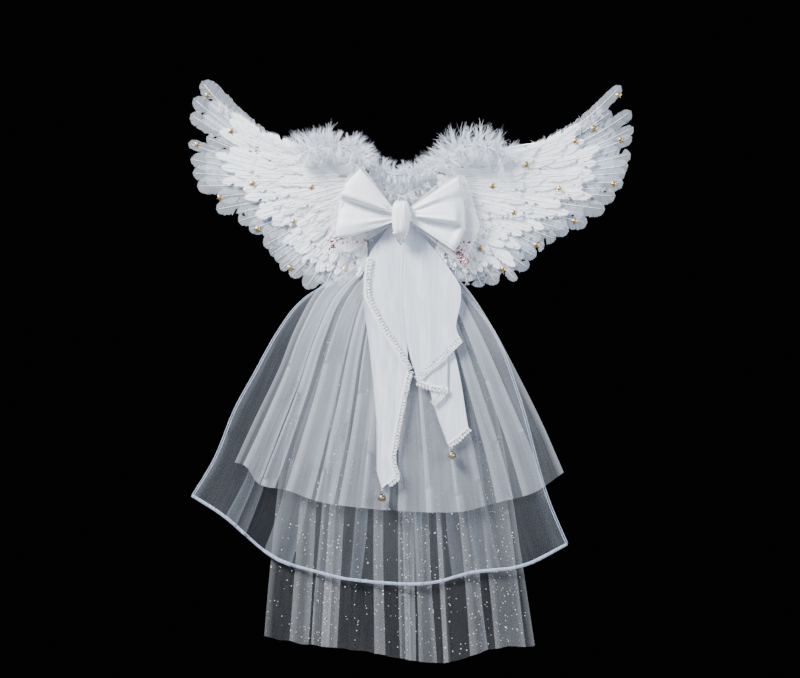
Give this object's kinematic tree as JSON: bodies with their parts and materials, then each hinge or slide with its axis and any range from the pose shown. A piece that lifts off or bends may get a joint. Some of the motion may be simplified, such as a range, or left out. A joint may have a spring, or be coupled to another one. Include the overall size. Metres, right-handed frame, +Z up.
{
  "type": "costume feather wings",
  "caption": "Wearable white feather wings hinged on a back pad, with fluffy trim, a large satin bow, belled sash tails, a sheer layered train and elastic arm loops.",
  "frame": {"origin": "centre of the back pad's rear face, where the part rests against the wearer's back", "axes": "+Z up along the wearer's spine, +Y out of the pad's rear face towards the wearer, +X to the right as seen from the show side"},
  "size_m": [0.555, 0.1589, 0.727],
  "materials": {
    "felt": "matte white pressed felt",
    "plastic": "matte white sheet plastic",
    "satin": "white polyester satin, soft sheen",
    "steel": "bright drawn wire",
    "elastic": "white ribbed woven elastic",
    "marabou": "fluffy white down",
    "glitter_tulle": "sheer net with silver and gold dots",
    "organza": "sheer crisp organza",
    "tulle": "soft sheer net in pleats",
    "sequin": "small pale pink sequins",
    "lace": "white scalloped lace",
    "card": "stiff white card",
    "feather": "translucent white flight feathers",
    "covert": "opaque white covert feathers",
    "bell": "polished pale gold bell metal"
  },
  "bodies": {
    "back_assembly": {"back_pad": "felt", "back_board": "plastic", "front_cover": "satin", "hinge_rod_left": "steel", "hinge_rod_right": "steel", "strap_anchor_upper_left": "elastic", "strap_anchor_lower_left": "elastic", "strap_anchor_upper_right": "elastic", "strap_anchor_lower_right": "elastic", "marabou_neck": "marabou", "waist_tape": "satin", "glitter_tulle": "glitter_tulle", "organza_overlay": "organza", "organza_hem": "satin", "top_tulle": "tulle", "sheer_loop_left": "organza", "sheer_loop_right": "organza", "sequin_trim_left": "sequin", "sequin_trim_right": "sequin", "satin_loop_left": "satin", "satin_loop_right": "satin", "bow_knot": "satin", "sash_tail_left": "satin", "sash_tail_right": "satin", "lace_trim_left": "lace", "lace_trim_right": "lace", "bell_ring_left": "steel", "bell_ring_right": "steel"},
    "wing_left": {"wing_frame_left": "steel", "wing_card_left": "card", "rear_lining_left": "felt", "primary_feathers_left": "feather", "secondary_feathers_left": "feather", "greater_coverts_left": "covert", "median_coverts_left": "covert", "inner_coverts_left": "covert", "marabou_left": "marabou"},
    "wing_right": {"wing_frame_right": "steel", "wing_card_right": "card", "rear_lining_right": "felt", "primary_feathers_right": "feather", "secondary_feathers_right": "feather", "greater_coverts_right": "covert", "median_coverts_right": "covert", "inner_coverts_right": "covert", "marabou_right": "marabou"},
    "strap_left": {"elastic_strap_left": "elastic"},
    "strap_right": {"elastic_strap_right": "elastic"},
    "bell_left": {"bell_shell_left": "bell"},
    "bell_right": {"bell_shell_right": "bell"},
    "pellet_left": {"bell_pellet_left": "steel"},
    "pellet_right": {"bell_pellet_right": "steel"}
  },
  "joints": [
    {"name": "left_wing_fold", "type": "hinge", "parent": "back_assembly", "child": "wing_left", "pos_m": [-0.04805, -0.0053, 0], "axis": [0, 0, -1], "range_deg": [0, 70]},
    {"name": "right_wing_fold", "type": "hinge", "parent": "back_assembly", "child": "wing_right", "pos_m": [0.04805, -0.0053, 0], "axis": [0, 0, 1], "range_deg": [0, 70]},
    {"name": "left_strap_swing", "type": "hinge", "parent": "back_assembly", "child": "strap_left", "pos_m": [-0.03, 0.0016, 0], "axis": [0, 0, -1], "range_deg": [-40, 12]},
    {"name": "right_strap_swing", "type": "hinge", "parent": "back_assembly", "child": "strap_right", "pos_m": [0.03, 0.0016, 0], "axis": [0, 0, 1], "range_deg": [-40, 12]},
    {"name": "left_bell_swing", "type": "hinge", "parent": "back_assembly", "child": "bell_left", "pos_m": [-0.025, -0.0252, -0.34095], "axis": [0, 1, 0], "range_deg": [-60, 60]},
    {"name": "right_bell_swing", "type": "hinge", "parent": "back_assembly", "child": "bell_right", "pos_m": [0.062, -0.0252, -0.28795], "axis": [0, 1, 0], "range_deg": [-60, 60]},
    {"name": "left_pellet_rattle", "type": "slide", "parent": "bell_left", "child": "pellet_left", "axis": [0, 0, 1], "range_m": [0, 0.003]},
    {"name": "right_pellet_rattle", "type": "slide", "parent": "bell_right", "child": "pellet_right", "axis": [0, 0, 1], "range_m": [0, 0.003]}
  ]
}
